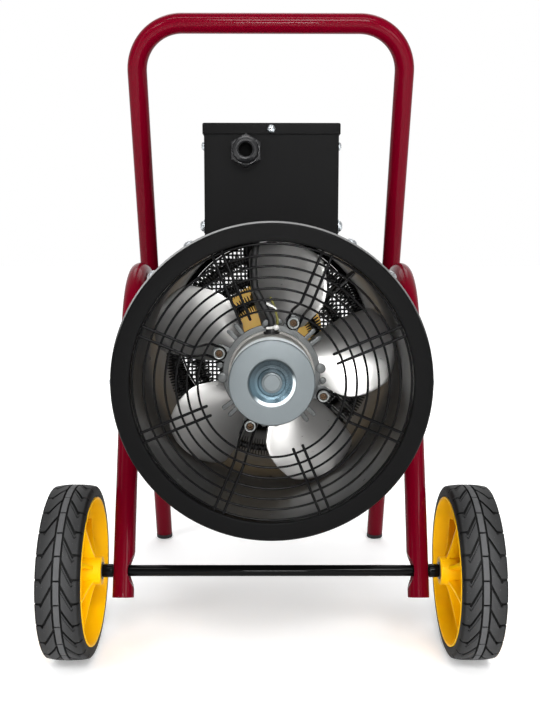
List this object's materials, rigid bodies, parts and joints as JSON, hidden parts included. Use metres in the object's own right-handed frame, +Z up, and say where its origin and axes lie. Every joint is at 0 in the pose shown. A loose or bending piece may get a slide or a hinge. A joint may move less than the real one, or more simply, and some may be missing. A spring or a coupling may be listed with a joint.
{
  "type": "forced air heater",
  "caption": "Wheeled electric forced air heater: round duct with an axial fan and ring elements, bent tube frame with a handle, control box on top.",
  "frame": {"origin": "middle of the whole heater's footprint, on the floor", "axes": "+Z up, -Y towards the air inlet with the motor, +Y towards the warm air outlet, +X to the right seen from the inlet side"},
  "size_m": [0.5088, 0.5762, 0.7659],
  "materials": {
    "frame_paint": "gloss",
    "black_coat": "satin",
    "black_gloss": "gloss",
    "black_plastic": "satin",
    "rubber": "matte",
    "tyre": "matte",
    "hub_plastic": "gloss",
    "zinc": "satin",
    "galvanised": "satin",
    "bright_sheet": "satin",
    "element_steel": "satin",
    "liner_steel": "satin",
    "button_red": "gloss",
    "lamp_lens": "gloss"
  },
  "bodies": {
    "chassis": {"side_frame_left": "frame_paint", "foot_left": "rubber", "duct_bolt_left_rear": "galvanised", "duct_bolt_left_front": "galvanised", "handle_bolt_left_lower": "galvanised", "handle_bolt_left_upper": "galvanised", "axle_spacer_left": "black_gloss", "axle_cap_left": "black_plastic", "side_frame_right": "frame_paint", "foot_right": "rubber", "duct_bolt_right_rear": "galvanised", "duct_bolt_right_front": "galvanised", "handle_bolt_right_lower": "galvanised", "handle_bolt_right_upper": "galvanised", "axle_spacer_right": "black_gloss", "axle_cap_right": "black_plastic", "handle_loop": "frame_paint", "axle": "black_gloss", "duct_casing": "black_coat", "duct_liner": "liner_steel", "inlet_ring": "black_coat", "outlet_ring": "black_coat", "outlet_grille": "galvanised", "wire_guard": "black_gloss", "motor_cap": "zinc", "motor_plate": "galvanised", "motor_body": "galvanised", "element_bracket": "galvanised", "motor_lead": "rubber", "motor_grommet": "rubber", "box_body": "black_coat", "box_lid": "black_coat", "gland_body": "black_plastic", "gland_nut": "black_plastic", "mode_switch": "black_plastic", "thermostat": "galvanised", "thermal_cutout": "black_plastic", "pilot_lamp": "lamp_lens", "motor_bolt_1": "zinc", "motor_bolt_2": "zinc", "motor_bolt_3": "zinc", "motor_bolt_4": "zinc", "heating_element_1": "element_steel", "heating_element_2": "element_steel", "heating_element_3": "element_steel"},
    "wheel_left": {"tyre_left": "tyre", "wheel_hub_left": "hub_plastic", "wheel_bush_left": "galvanised"},
    "wheel_right": {"tyre_right": "tyre", "wheel_hub_right": "hub_plastic", "wheel_bush_right": "galvanised"},
    "fan": {"fan_hub": "bright_sheet", "fan_blade_1": "bright_sheet", "fan_blade_2": "bright_sheet", "fan_blade_3": "bright_sheet", "fan_blade_4": "bright_sheet", "fan_blade_5": "bright_sheet"},
    "mode_dial": {"mode_knob": "black_plastic"},
    "thermostat_dial": {"thermostat_knob": "black_plastic"},
    "reset_plunger": {"reset_button": "button_red"}
  },
  "joints": [
    {"name": "wheel_left_spin", "type": "hinge", "parent": "chassis", "child": "wheel_left", "pos_m": [-0.2294, -0.14708, 0.1], "axis": [1, 0, 0], "continuous": true},
    {"name": "wheel_right_spin", "type": "hinge", "parent": "chassis", "child": "wheel_right", "pos_m": [0.2294, -0.14708, 0.1], "axis": [1, 0, 0], "continuous": true},
    {"name": "fan_spin", "type": "hinge", "parent": "chassis", "child": "fan", "pos_m": [0, -0.14208, 0.3426], "axis": [0, 1, 0], "continuous": true},
    {"name": "mode_turn", "type": "hinge", "parent": "chassis", "child": "mode_dial", "pos_m": [-0.036, 0.07092, 0.562], "axis": [0, -1, 0], "range_deg": [0, 135]},
    {"name": "thermostat_turn", "type": "hinge", "parent": "chassis", "child": "thermostat_dial", "pos_m": [0.036, 0.07092, 0.562], "axis": [0, -1, 0], "range_deg": [0, 270]},
    {"name": "reset_push", "type": "slide", "parent": "chassis", "child": "reset_plunger", "axis": [0, -1, 0], "range_m": [0, 0.0025], "stiffness_N_per_m": 400, "springref_m": -0.001}
  ]
}
